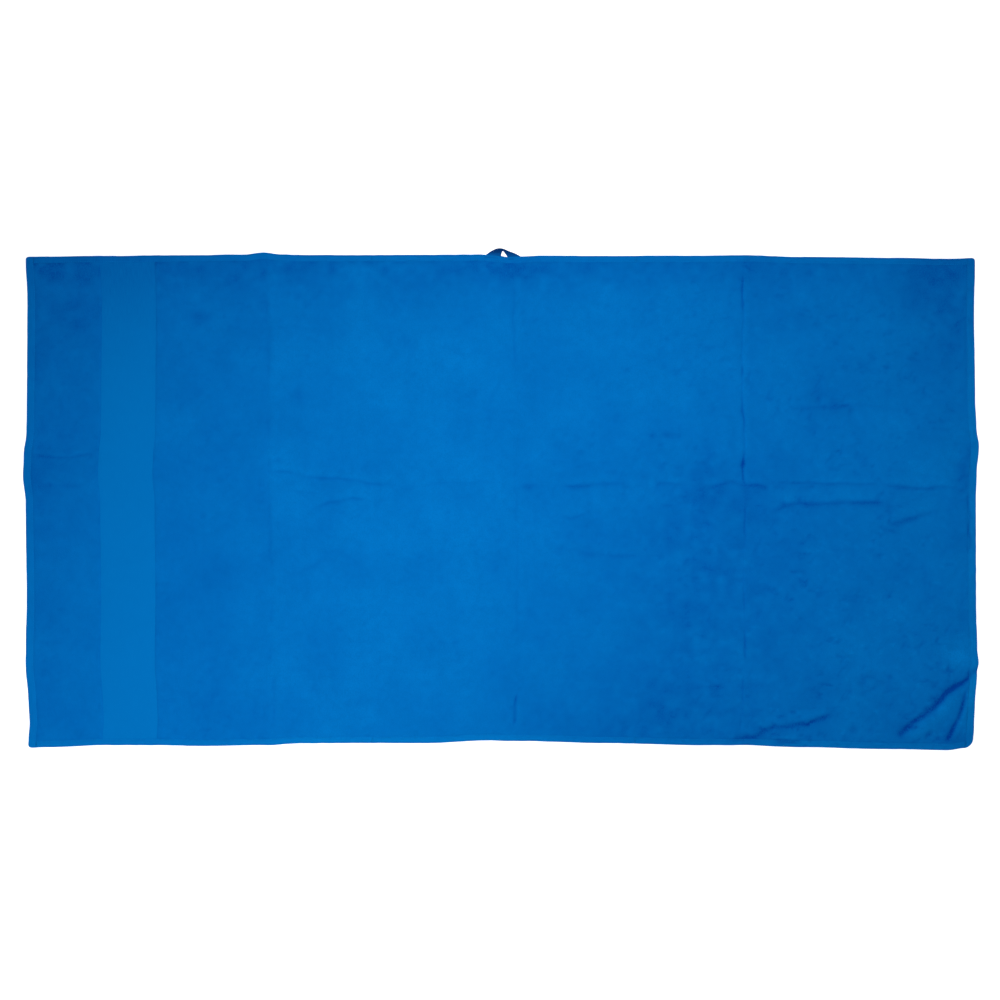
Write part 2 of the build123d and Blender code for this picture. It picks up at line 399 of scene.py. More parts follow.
@dataclass
class Cloth:
    """The whole towel as one cloth: its sizes, where it lies, and the heights of its face and back.

    Attributes:
        half_length, half_width: from the middle to the ends and to the long edges.
        end_hem, side_hem: the widths of the hems.
        hem_low, hem_high: the underside and the face of the hems.
        pile_top: the height of the pile's tips.
        border: the start and end of the flat border along the towel.
        border_low, border_high: the underside and the face of the border.
        folds: each fold joint's place along the towel and the height of its axis.
        pile_roll, border_roll: how far from a hem and from the border the pile starts to lean down.
        hem_lean, border_lean: how far down it leans there.
        tips_below: how far under pile_top the tips of flat pile lie.
        highest: the most that a wrinkle may stand, so that folded faces don't meet.
    """

    half_length: float
    half_width: float
    end_hem: float
    side_hem: float
    hem_low: float
    hem_high: float
    pile_top: float
    border: tuple[float, float]
    border_low: float
    border_high: float
    folds: dict[str, tuple[float, float]]
    pile_roll: float = 3.2
    border_roll: float = 2.4
    hem_lean: float = 0.4
    border_lean: float = 0.7
    tips_below: float = 0.3
    highest: float = 4.5

    @classmethod
    def from_frame(cls) -> "Cloth":
        """Read every size from the CAD nodes and the joints."""
        end_low, end_high = corners_of("end_hem_right")
        side_low, side_high = corners_of("loop_side_hem_centre_left")
        border_low, border_high = corners_of("dobby_border")
        folds = {
            j["name"]: (j["pos_m"][0] / MM, j["pos_m"][2] / MM)
            for j in frame["joints"]
            if j["name"].endswith("_fold")
        }
        return cls(
            half_length=end_high[0],
            half_width=end_high[1],
            end_hem=end_high[0] - end_low[0],
            side_hem=side_high[1] - side_low[1],
            hem_low=side_low[2],
            hem_high=side_high[2],
            pile_top=corners_of("terry_centre_left")[1][2],
            border=(border_low[0], border_high[0]),
            border_low=border_low[2],
            border_high=border_high[2],
            folds=folds,
        )

    @property
    def terry_end(self) -> float:
        """Return where the terry stops and an end hem starts."""
        return self.half_length - self.end_hem

    @property
    def terry_side(self) -> float:
        """Return where the terry stops and a side hem starts."""
        return self.half_width - self.side_hem

    def place(self, u: Array, v: Array) -> tuple[Array, Array]:
        """Carry flat coordinates to where the cloth lies.

        Each point moves by the waviness of the two edges on its line, shared out by how near it is to each.

        Args:
            u, v: flat coordinates.

        Returns:
            x and y on the ground.
        """
        to_loop = (v + self.half_width) / (2 * self.half_width)
        to_right = (u + self.half_length) / (2 * self.half_length)
        y = v + eased_line(PLAIN_EDGE, u) * (1 - to_loop) + eased_line(LOOP_EDGE, u) * to_loop
        x = u + eased_line(LEFT_EDGE, v) * (1 - to_right) + eased_line(RIGHT_EDGE, v) * to_right
        return x, y

    def creased(self, u: Array, v: Array) -> tuple[Array, Array]:
        """Add up the heights and the shades of all creases."""
        height, shade = np.zeros_like(u), np.zeros_like(u)
        for crease in CREASES:
            h, s = crease.shape(u, v)
            height += h
            shade += s
        return height, shade

    def ruffle(self, u: Array, v: Array) -> tuple[Array, Array]:
        """Give the heights of pressed pile, swells, tufts and short dents, with their painted shade and
        highlight, and painted glints.

        All but the swells grow stronger towards the right and most of all towards the plain right corner.
        """
        right = smooth((u - 50) / 480)
        corner = smooth((u - 150) / 350) * smooth((60 - v) / 250)
        lively = 0.28 + 0.31 * right + 0.35 * corner
        swells = layered_noise(u, v, 52.0, 2, 11)
        tufts = layered_noise(u, v, 10.0, 3, 17)
        crowded = 0.5 + smooth(0.5 + 1.6 * layered_noise(u, v, 70.0, 2, 61))
        long_dents = np.minimum(0.0, layered_noise(u, 1.9 * v, 13.0, 3, 37) + 0.24)
        slant_dents = np.minimum(0.0, layered_noise(0.5 * u + 0.9 * v, 1.6 * u - 0.9 * v, 14.0, 3, 41) + 0.26)
        dents = crowded * (long_dents + slant_dents)
        glints = np.maximum(0.0, layered_noise(0.9 * u - 0.4 * v, 0.9 * u + 2.0 * v, 10.0, 2, 47) - 0.3)
        height = SWELLS.height * swells + lively * (TUFTS.height * tufts + DENTS.height * dents)
        # Painted shade and highlight of the ruffle, and painted glints
        fine = TUFTS.shade * tufts + DENTS.shade * dents + GLINTS.shade * glints
        return height, SWELLS.shade * swells + lively * fine

    def terry_face(self, u: Array, v: Array) -> tuple[Array, Array]:
        """Give the height of the terry's face and its painted shade.

        The pile's tips lie tips_below under pile_top, plus creases, ruffle and single loops. Near a hem or
        the border they lean down, by the square of one less smooth(distance over the reach of the lean).

        Args:
            u, v: flat coordinates.

        Returns:
            Heights, and painted shades from -1, lightest, to 1, darkest.
        """
        creased, shade = self.creased(u, v)
        ruffle, uneven = self.ruffle(u, v)
        loops = 0.11 * noise(u, v, 2.3, 71) + 0.07 * noise(u, v, 3.9, 72)
        start, end = self.border
        off_hem = np.minimum(self.terry_side + TUCK - np.abs(v), self.terry_end + TUCK - np.abs(u))
        at_hem = (1 - smooth(off_hem / self.pile_roll)) ** 2
        at_border = (1 - smooth(np.maximum(start - u, u - end) / self.border_roll)) ** 2
        lean = self.hem_lean * at_hem + self.border_lean * at_border
        z = self.pile_top - self.tips_below + creased + ruffle + loops - lean
        # Painted shade of creases, ruffle and panels, and painted shade where the pile leans down to the
        # border
        shade = shade + uneven + eased_line(PAINTED_PANEL_SHADE, u) + 0.10 * at_border
        # Noise that makes the painted shade patches ragged
        patch_ragging = 1 + 0.9 * layered_noise(u, v, 13.0, 2, 55)
        return self.limited(z, u, v), np.clip(shade + patch_ragging * self.painted_patch_shade(u, v), -1, 1)

    def painted_patch_shade(self, u: Array, v: Array) -> Array:
        """Add up the painted shade of all painted shade patches."""
        return sum(shade_patch.tone(u, v) for shade_patch in PAINTED_SHADE_PATCHES)

    def limited(self, z: Array, u: Array, v: Array) -> Array:
        """Hold heights under the highest allowed, with 1 mm more at the plain right corner."""
        spare = smooth((u - 560) / 40) * smooth((-v - 220) / 30)
        return np.minimum(z, self.highest + spare)

    def back(self, u: Array, v: Array) -> Array:
        """Give the height of the cloth's back: just off the ground, and up under the wrinkles."""
        creased, _ = self.creased(u, v)
        return 0.08 + 0.55 * np.maximum(creased, 0) + 0.05 * (1 + noise(u, v, 2.3, 73))

    def border_face(self, u: Array, v: Array) -> tuple[Array, Array]:
        """Give the flat border's face and painted shade: level, with softened creases and a little slack."""
        creased, shade = self.creased(u, v)
        slack = 0.12 * layered_noise(u, v, 60.0, 2, 51)
        z = self.border_high + 0.1 + 0.6 * creased + slack
        # Painted shade: softened crease shade, an even 0.18 in step with the left panels' painted shade, and
        # the painted patches
        shade = 0.6 * shade + 0.18 + 0.9 * self.painted_patch_shade(u, v)
        return z, np.clip(shade, -1, 1)

    def border_back(self, u: Array, v: Array) -> Array:
        """Give the flat border's back, held up a little by the pile on each side of it."""
        creased, _ = self.creased(u, v)
        return self.border_low - 0.3 + 0.5 * np.maximum(creased, 0)


# ---- Meshes ----


def stations(start: float, end: float, step: float, folds: list[tuple[float, float]] = ()) -> Array:
    """Space places from start to end, step apart, and three times closer within each fold's reach.

    Args:
        start, end: the stretch.
        step: the usual distance.
        folds: (place, reach) of each fold that the stretch crosses.

    Returns:
        The places, equal steps of the summed density.
    """
    fine = np.linspace(start, end, 4001)
    density = np.full_like(fine, 1.0 / step)
    for place, reach in folds:
        density[np.abs(fine - place) < reach] = 3.0 / step
    count = np.concatenate([[0.0], np.cumsum((density[1:] + density[:-1]) / 2 * np.diff(fine))])
    return np.interp(np.linspace(0, count[-1], int(round(count[-1])) + 1), count, fine)


def grid_faces(rows: int, columns: int, wrap: bool = False) -> Array:
    """Number the quads of a grid of points, row by row; wrap joins the last column to the first."""
    i, j = np.meshgrid(np.arange(rows - 1), np.arange(columns if wrap else columns - 1), indexing="ij")
    k = (j + 1) % columns
    quads = [i * columns + j, (i + 1) * columns + j, (i + 1) * columns + k, i * columns + k]
    return np.stack(quads, axis=-1).reshape(-1, 4)


def volume(points: Array, faces: list[Array]) -> float:
    """Return the signed volume that faces hold: a sixth of the triple products of their fans."""
    total = 0.0
    for group in faces:
        for k in range(1, group.shape[1] - 1):
            a, b, c = points[group[:, 0]], points[group[:, k]], points[group[:, k + 1]]
            total += float(np.einsum("ij,ij->i", a, np.cross(b, c)).sum()) / 6
    return total


def new_piece(
    name: str,
    points: Array,
    faces: list[Array],
    flat: Array,
    shade: Array,
    material: bpy.types.Material,
    rim: Array | None = None,
) -> bpy.types.Object:
    """Make a closed mesh piece with its flat coordinates as a UV map and its painted shade as an attribute.

    Args:
        name: the piece's name.
        points: n x 3 places, in millimetres.
        faces: groups of faces, each an array of point numbers with one row to a face.
        flat: n x 2 flat coordinates, in millimetres.
        shade: n painted shades from -1, lightest, to 1, darkest.
        material: what it is made of.
        rim: n whole numbers, 0 inside and the same number along each sharp rim.

    Returns:
        The new object, at the origin.
    """
    if volume(points, faces) < 0:
        faces = [group[:, ::-1] for group in faces]
    corners = np.concatenate([group.ravel() for group in faces]).astype(np.int32)
    sizes = np.concatenate([np.full(len(group), group.shape[1]) for group in faces])
    mesh = bpy.data.meshes.new(name)
    mesh.vertices.add(len(points))
    mesh.vertices.foreach_set("co", (points * MM).astype(np.float32).ravel())
    mesh.loops.add(len(corners))
    mesh.loops.foreach_set("vertex_index", corners)
    mesh.polygons.add(len(sizes))
    mesh.polygons.foreach_set("loop_start", np.concatenate([[0], np.cumsum(sizes)[:-1]]).astype(np.int32))
    mesh.update(calc_edges=True)
    mesh.shade_smooth()
    layer = mesh.uv_layers.new(name="flat")
    layer.data.foreach_set("uv", (flat[corners] * MM).astype(np.float32).ravel())
    values = mesh.attributes.new("shade", "FLOAT", "POINT")
    values.data.foreach_set("value", shade.astype(np.float32))
    if rim is not None:
        ends = np.empty(len(mesh.edges) * 2, np.int32)
        mesh.edges.foreach_get("vertices", ends)
        a, b = rim[ends.reshape(-1, 2)].T
        sharp = mesh.attributes.new("sharp_edge", "BOOLEAN", "EDGE")
        sharp.data.foreach_set("value", (a > 0) & (a == b))
    mesh.materials.append(material)
    piece = bpy.data.objects.new(name, mesh)
    bpy.context.scene.collection.objects.link(piece)
    return piece


def tubes(rings: Array) -> tuple[Array, list[Array]]:
    """Close a set of tubes into one mesh.

    Args:
        rings: tubes x rings x points x 3, each ring a closed outline.

    Returns:
        The points, and the faces: the walls as quads, and a cap at each end of each tube.
    """
    count, length, around, _ = rings.shape
    first = np.arange(count)[:, None, None] * length * around
    walls = (first + grid_faces(length, around, wrap=True)[None]).reshape(-1, 4)
    ring = np.arange(around)[None]
    start = first[:, :, 0] + ring
    end = first[:, :, 0] + (length - 1) * around + ring[:, ::-1]
    return rings.reshape(-1, 3), [walls, start, end]


@dataclass
class ClothPatch:
    """One stretch of the cloth's length, as a closed shell of face, back and four walls.

    Attributes:
        name: the piece's name.
        start, end: its stretch of u.
        nodes: the CAD nodes that it stands for.
        bodies: the one body it rides on, or at a fold the two on each side of it, which it does not ride on.
        fold: the joint that it crosses.
        is_border: whether it is the flat border.
        step: the distance between points.
    """

    name: str
    start: float
    end: float
    nodes: tuple[str, ...]
    bodies: tuple[Body, ...]
    fold: str | None = None
    is_border: bool = False
    step: float = 2.2

    def build(self, cloth: Cloth, material: bpy.types.Material) -> bpy.types.Object:
        """Work out the shell from the cloth's face and back over a grid, and hang it on its body where it
        crosses no fold.
        """
        folds = [fine_stretch(cloth, self.fold)] if self.fold else []
        side = cloth.terry_side + TUCK
        u, v = np.meshgrid(
            stations(self.start, self.end, self.step, folds), stations(-side, side, self.step), indexing="ij"
        )
        x, y = cloth.place(u, v)
        if self.is_border:
            (face, shade), back = cloth.border_face(u, v), cloth.border_back(u, v)
        else:
            (face, shade), back = cloth.terry_face(u, v), cloth.back(u, v)
        back = np.minimum(back, face - THINNEST)
        rows, columns = u.shape
        count = rows * columns
        points = np.concatenate([np.stack([x, y, z], -1).reshape(-1, 3) for z in (face, back)])
        top = grid_faces(rows, columns)
        number = np.arange(count).reshape(rows, columns)
        rim = np.concatenate(
            [number[:-1, 0], number[-1, :-1], number[:0:-1, -1], number[0, :0:-1]]
        )
        following = np.roll(rim, -1)
        walls = np.stack([rim + count, following + count, following, rim], axis=-1)
        edge = np.zeros(2 * count, int)
        edge[rim], edge[rim + count] = 1, 2
        flat = np.tile(np.stack([u, v], -1).reshape(-1, 2), (2, 1))
        # The back carries half of the face's painted shade
        shades = np.concatenate([shade.ravel(), 0.5 * shade.ravel()])
        piece = new_piece(self.name, points, [top, top[:, ::-1] + count, walls], flat, shades, material, edge)
        hang(piece, self.bodies, self.fold)
        hand_over(piece, "flat_weave" if self.is_border else "blue_terry", *self.nodes)
        return piece


def fold_reach(cloth: Cloth, fold: str) -> float:
    """Return a fold's reach each side of it: 1.15 times the height of its axis, as for a back bent round
    about a half circle.
    """
    return 1.15 * cloth.folds[fold][1]


def fine_stretch(cloth: Cloth, fold: str) -> tuple[float, float]:
    """Return a fold's place and how far each side of it the points lie closer together."""
    return cloth.folds[fold][0], fold_reach(cloth, fold) + 3


def hang(piece: bpy.types.Object, bodies: tuple[Body, ...], fold: str | None) -> None:
    """Make a piece ride on its one body; a piece at a fold only has its place baked into its mesh.
    """
    if fold is None:
        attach(piece, bodies[0].value)
        return
    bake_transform(piece)


def hand_over(piece: bpy.types.Object, slot: str, *nodes: str) -> None:
    """Hide the CAD nodes that a piece stands for, and log its size."""
    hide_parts(*nodes)
    LOG.info("%s: %d faces", piece.name, len(piece.data.polygons))


# ---- Hems, stitches and loop ----


@dataclass
class Hem:
    """The folded edge of the cloth: a flattened tube that runs along a long edge or across an end.

    Attributes:
        cloth: the cloth that it edges.
        around: points round the tube.
        squareness: below 1, the tube's section is squarer than an ellipse.
        seam_inset: from the hem's inner edge to its stitches.
        seam_dip: how far the stitches pull the cloth in.
        step: the distance between rings.
        length, pitch, thread: of one stitch.
        off_ground: how high the hem's underside keeps.
    """

    cloth: Cloth
    around: int = 26
    squareness: float = 0.5
    seam_inset: float = 1.6
    seam_dip: float = 0.3
    step: float = 2.0
    length: float = 2.7
    pitch: float = 3.4
    thread: float = 0.3
    off_ground: float = 0.12

    def height(self, across: Array, along: Array, width: float, seed: int) -> Array:
        """Give half the hem's thickness at a distance from its inner edge.

        It is the even half thickness plus puckers, less a bell-shaped dip at the seam.
        """
        half = (self.cloth.hem_high - self.cloth.hem_low) / 2
        pucker = 0.10 * noise(along, across, 5.0, seed) + 0.12 * noise(along, across, 17.0, seed + 1)
        dip = self.seam_dip * np.exp(-(((across - self.seam_inset) / 1.0) ** 2))
        bulge = 0.12 * np.sin(np.pi * np.clip(across / width, 0, 1))
        return half + pucker + bulge - dip

    def section(self, along: Array, width: float, seed: int) -> tuple[Array, Array]:
        """Work out the tube's section at each place along it.

        Args:
            along: the places.
            width: the hem's width.
            seed: picks its puckers.

        Returns:
            The distance from the inner edge and the height off the hem's middle, both places x around:
            the cosine and sine of an angle, each raised to the squareness, times half width and thickness.
        """
        angle = np.linspace(0, 2 * np.pi, self.around, endpoint=False)
        flat_cos = np.sign(np.cos(angle)) * np.abs(np.cos(angle)) ** self.squareness
        flat_sin = np.sign(np.sin(angle)) * np.abs(np.sin(angle)) ** self.squareness
        a = np.repeat(along[:, None], self.around, axis=1)
        level = np.zeros_like(a)
        wave = 0.15 * noise(a, level, 11.0, seed + 2) + 0.25 * noise(a, level, 37.0, seed + 3)
        across = width / 2 * (1 + flat_cos[None]) + wave * (1 + flat_cos[None]) / 2
        return across, flat_sin[None] * self.height(across, a, width, seed)

    def lay(self, u: Array, v: Array, off_middle: Array) -> tuple[Array, Array, Array]:
        """Carry hem points to where they lie, lifted by the creases that run out over the hem."""
        creased, _ = self.cloth.creased(u, v)
        middle = (self.cloth.hem_high + self.cloth.hem_low) / 2
        x, y = self.cloth.place(u, v)
        z = middle + off_middle + 0.55 * np.where(off_middle > 0, creased, np.maximum(creased, 0))
        return x, y, np.maximum(z, self.off_ground)

    def close(
        self, name: str, u: Array, v: Array, off_middle: Array, material: bpy.types.Material
    ) -> bpy.types.Object:
        """Close the tube of laid points into a piece, with the painted shade of the cloth's creases, ruffle,
        panels and patches.
        """
        _, creased = self.cloth.creased(u, v)
        _, uneven = self.cloth.ruffle(u, v)
        shade = 0.6 * (creased + uneven) + eased_line(PAINTED_PANEL_SHADE, u) + self.cloth.painted_patch_shade(u, v)
        points, faces = tubes(np.stack(self.lay(u, v, off_middle), -1)[None])
        flat = np.stack([u, v], -1).reshape(-1, 2)
        return new_piece(name, points, faces, flat, np.clip(shade, -1, 1).ravel(), material)

    def along_side(
        self, name: str, side: Side, start: float, end: float, folds: list[tuple[float, float]],
        material: bpy.types.Material,
    ) -> bpy.types.Object:
        """Build a stretch of side hem from start to end."""
        u = stations(start, end, self.step, folds)
        across, off_middle = self.section(u, self.cloth.side_hem, 300 + side.value)
        v = side.value * (self.cloth.terry_side + across)
        return self.close(name, np.repeat(u[:, None], self.around, axis=1), v, off_middle, material)

    def across_end(
        self, name: str, direction: int, rounds: Point, material: bpy.types.Material
    ) -> bpy.types.Object:
        """Build an end hem over the full width, with its outer edge drawn in round each corner.

        Args:
            name: the piece's name.
            direction: -1 for the left end, 1 for the right.
            rounds: the radius at the plain corner and at the loop corner.
            material: what it is made of.
        """
        half = self.cloth.half_width
        v = stations(-half, half, self.step, [(-half, 14.0), (half, 14.0)])
        across, off_middle = self.section(v, self.cloth.end_hem, 320 + direction)
        radius = np.where(v < 0, rounds[0], rounds[1])
        past = np.clip((np.abs(v) - (half - radius)) / radius, 0, 1)
        drawn_in = radius * (1 - np.sqrt(np.maximum(0.0, 1 - past**2)))
        width = self.cloth.end_hem
        across = across * np.clip((width - drawn_in) / width, 0.12, 1)[:, None]
        thin = np.sqrt(np.clip((half - np.abs(v)) / 1.2, 0.05, 1))[:, None]
        u = direction * (self.cloth.terry_end + across)
        return self.close(name, u, np.repeat(v[:, None], self.around, axis=1), off_middle * thin, material)

    def stitches(
        self, name: str, middle_u: Array, middle_v: Array, along_u: bool, width: float,
        material: bpy.types.Material,
    ) -> bpy.types.Object:
        """Build a row of lock stitches on the face and the back of a hem.

        Each stitch is a short tube: its radius is thread times the root of the sine of pi t, and its ends
        dive into the cloth by the square of the distance from its middle.

        Args:
            name: the piece's name.
            middle_u, middle_v: each stitch's middle.
            along_u: whether the row runs along u.
            width: the hem's width.
            material: the thread.
        """
        t = np.linspace(0.04, 0.96, 6)
        angle = np.linspace(0, 2 * np.pi, 6, endpoint=False)
        radius = self.thread * np.sqrt(np.sin(np.pi * t))
        run = (t - 0.5) * self.length
        shape = (len(middle_u), len(t), len(angle))
        slant = 0.16 * lattice(np.arange(len(middle_u)), np.zeros(len(middle_u)), 5)[:, None, None]
        sideways = np.broadcast_to(radius[:, None] * np.cos(angle), shape) + slant * run[None, :, None]
        forward = np.broadcast_to(run[:, None], shape)
        u = middle_u[:, None, None] + (forward if along_u else sideways)
        v = middle_v[:, None, None] + (sideways if along_u else forward)
        base = self.height(np.full(shape, self.seam_inset), u if along_u else v, width, 0)
        dive = 0.3 * (2 * t - 1) ** 2
        rings = []
        for face in (1, -1):
            off_middle = face * (base + 0.1 - dive[:, None]) + radius[:, None] * np.sin(angle)
            rings.append(np.stack(self.lay(u, v, off_middle), -1))
        points, faces = tubes(np.concatenate(rings))
        flat = np.tile(np.stack([u, v], -1).reshape(-1, 2), (2, 1))
        return new_piece(name, points, faces, flat, np.zeros(len(points)), material)


def curve_through(points: list[tuple[float, float, float]], count: int) -> Array:
    """Run a smooth curve through points, in cubics whose end slopes are half the gap of the neighbours."""
    p = np.array(points, float)
    p = np.concatenate([[2 * p[0] - p[1]], p, [2 * p[-1] - p[-2]]])
    at = np.linspace(0, len(points) - 1 - 1e-9, count)
    i = at.astype(int)
    t = (at - i)[:, None]
    a, b, c, d = p[i], p[i + 1], p[i + 2], p[i + 3]
    return b + 0.5 * t * (c - a + t * (2 * a - 5 * b + 4 * c - d + t * (3 * (b - c) + d - a)))


@dataclass
class HangingLoop:
    """The tape loop: flat where it leaves the hem, and turned up on its edge at the top.

    Attributes:
        outer: the tape's outer edge, from the left foot over the top to the right foot.
        inner: its inner edge, round the gap, point for point.
        thickness: of the tape.
        off_ground: how high its underside keeps.
        rings, around: how finely it is made.
    """

    outer: list[tuple[float, float, float]] = field(default_factory=lambda: [
        (-29.0, 356.5, 1.3), (-23.2, 361.8, 1.5), (-15.5, 367.4, 2.2), (-6.8, 371.6, 3.2), (-0.6, 372.2, 3.6),
        (5.4, 370.8, 3.4), (13.0, 367.7, 2.8), (22.5, 364.2, 2.0), (34.5, 357.0, 1.4),
    ])
    inner: list[tuple[float, float, float]] = field(default_factory=lambda: [
        (-0.4, 356.0, 1.5), (0.4, 360.0, 1.4), (0.9, 363.5, 1.2), (1.7, 366.6, 1.0), (3.1, 368.3, 1.0),
        (4.9, 366.9, 1.0), (6.8, 364.0, 1.1), (9.0, 360.9, 1.4), (12.4, 356.0, 1.5),
    ])
    thickness: float = 0.9
    off_ground: float = 0.15
    rings: int = 120
    around: int = 28

    def build(self, cloth: Cloth, material: bpy.types.Material) -> bpy.types.Object:
        """Sweep a flattened ring along the middle of the two edges.

        Each ring's long axis runs from the inner to the outer edge and its short axis is square to that and
        to the path; the ring is a superellipse, with a low cord along each selvedge. Painted shade makes the
        tape darkest at its top, where it turns up on its edge, and painted light makes it lighter towards the
        hem, on the left arm most of all.
        """
        outer, inner = curve_through(self.outer, self.rings), curve_through(self.inner, self.rings)
        middle, reach = (outer + inner) / 2, (outer - inner) / 2
        path = np.gradient(middle, axis=0)
        normal = np.cross(path, reach)
        normal /= np.linalg.norm(normal, axis=1)[:, None]
        angle = np.linspace(0, 2 * np.pi, self.around, endpoint=False)
        wide = np.sign(np.cos(angle)) * np.abs(np.cos(angle)) ** 0.6
        selvedge = 1 + 0.35 * np.exp(-(((np.abs(wide) - 0.9) / 0.08) ** 2))
        thick = self.thickness / 2 * np.sign(np.sin(angle)) * np.abs(np.sin(angle)) ** 0.5 * selvedge
        sideways = reach[:, None] * wide[None, :, None]
        upwards = normal[:, None] * thick[None, :, None]
        rings = middle[:, None] + sideways + upwards
        rings[..., 2] = np.maximum(rings[..., 2], self.off_ground)
        points, faces = tubes(rings[None])
        travelled = np.concatenate([[0], np.cumsum(np.linalg.norm(np.diff(middle, axis=0), axis=1))])
        across = np.linalg.norm(reach, axis=1)[:, None] * wide[None]
        flat = np.stack([np.repeat(travelled[:, None], self.around, axis=1), across], -1).reshape(-1, 2)
        # Painted shade at the tape's top, and painted light towards the hem
        at_hem = smooth((371 - points[:, 1]) / 11)
        left_arm = smooth((4 - points[:, 0]) / 8)
        shade = 0.5 - at_hem * (1.0 + 0.45 * left_arm)
        piece = new_piece("loop_tape_ribbon", points, faces, flat, shade, material)
        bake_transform(piece)
        hand_over(piece, "navy_tape", "loop_tape", "loop_tape_end_left", "loop_tape_end_right")
        return piece


# ---- Finishes ----

Colour = tuple[float, float, float]
Socket = bpy.types.NodeSocket


class Graph:
    """A node tree that is filled by short calls."""

    def __init__(self, tree: bpy.types.NodeTree) -> None:
        """Keep the tree."""
        self.tree = tree

    def add(self, kind: str, inputs: dict | None = None, **settings: object) -> bpy.types.Node:
        """Add a node.

        Args:
            kind: the node's type name without its ShaderNode prefix.
            inputs: each input's name or number, with a value or a socket to link.
            settings: the node's own properties.

        Returns:
            The node.
        """
        node = self.tree.nodes.new(kind if kind.startswith("NodeGroup") else f"ShaderNode{kind}")
        for key, value in settings.items():
            setattr(node, key, value)
        for key, value in (inputs or {}).items():
            if isinstance(value, Socket):
                self.tree.links.new(value, node.inputs[key])
            else:
                node.inputs[key].default_value = value
        return node

    def math(self, operation: str, a: Socket | float, b: Socket | float = 0.0, clamp: bool = False) -> Socket:
        """Work out one sum and return it."""
        return self.add("Math", {0: a, 1: b}, operation=operation, use_clamp=clamp).outputs[0]

    def spread(
        self, value: Socket, low: float, high: float, to_low: float = 0.0, to_high: float = 1.0
    ) -> Socket:
        """Map a value from low..high to to_low..to_high, held at both ends."""
        inputs = {"Value": value, "From Min": low, "From Max": high, "To Min": to_low, "To Max": to_high}
        return self.add("MapRange", inputs).outputs["Result"]

    def noise(self, vector: Socket, scale: float, detail: float = 2.0, roughness: float = 0.5) -> Socket:
        """Return noise over a vector, about 0 to 1."""
        inputs = {"Vector": vector, "Scale": scale, "Detail": detail, "Roughness": roughness}
        return self.add("TexNoise", inputs, noise_dimensions="2D").outputs[0]

    def mix(self, factor: Socket, a: Colour | Socket, b: Colour | Socket) -> Socket:
        """Blend two colours by a factor."""
        inputs = {0: factor}
        for key, value in ((6, a), (7, b)):
            inputs[key] = value if isinstance(value, Socket) else (*value, 1.0)
        return self.add("Mix", inputs, data_type="RGBA").outputs[2]


def new_group(
    name: str, inputs: dict[str, tuple[str, float | None]], outputs: list[str]
) -> tuple[Graph, dict]:
    """Start a shader node group.

    Args:
        name: the group's name.
        inputs: each input's socket type, and its usual value.
        outputs: the names of the outputs, all of them single values.

    Returns:
        The graph inside, and its input sockets by name.
    """
    tree = bpy.data.node_groups.new(name, "ShaderNodeTree")
    for key, (kind, usual) in inputs.items():
        socket = tree.interface.new_socket(key, in_out="INPUT", socket_type=kind)
        if usual is not None:
            socket.default_value = usual
    for key in outputs:
        tree.interface.new_socket(key, in_out="OUTPUT", socket_type="NodeSocketFloat")
    graph = Graph(tree)
    return graph, graph.add("NodeGroupInput").outputs


def finish_group(graph: Graph, outputs: dict[str, Socket]) -> bpy.types.NodeTree:
    """Link a group's outputs and return its tree."""
    graph.add("NodeGroupOutput", outputs)
    return graph.tree


def pile_group() -> bpy.types.NodeTree:
    """Looped pile: round loop heads packed in uneven rows, that lean in clumps.

    Height is one less the distance to the nearest loop's middle, with a clump noise under it. Tone is the
    same loop heads, as painted light at their middles and painted shade between them, with a finer noise of
    painted glints, for loops that catch more or less light.
    """
    inputs = {"Flat": ("NodeSocketVector", None), "Loop": ("NodeSocketFloat", 0.0016)}
    g, given = new_group("looped pile", inputs, ["Height", "Tone"])
    rows = g.add("VectorMath", {0: given["Flat"], 1: (1.0, 0.72, 1.0)}, operation="MULTIPLY").outputs[0]
    scaled = g.add("VectorMath", {0: rows, "Scale": g.math("DIVIDE", 1.0, given["Loop"])}, operation="SCALE")
    packed = {"Vector": scaled.outputs[0], "Scale": 1.0, "Randomness": 0.8}
    cells = g.add("TexVoronoi", packed, voronoi_dimensions="2D")
    heads = g.math("SUBTRACT", 1.0, cells.outputs["Distance"])
    clumps = g.noise(scaled.outputs[0], 0.22, 3.0, 0.6)
    height = g.math("ADD", g.math("MULTIPLY", heads, 0.55), g.math("MULTIPLY", clumps, 0.9))
    glints = g.noise(scaled.outputs[0], 0.8, 2.0, 0.7)
    # Painted shade between the loop heads, and painted glints on them
    tone = g.math("ADD", g.math("MULTIPLY", heads, 0.35), g.math("MULTIPLY", glints, 0.65))
    return finish_group(g, {"Height": height, "Tone": tone})


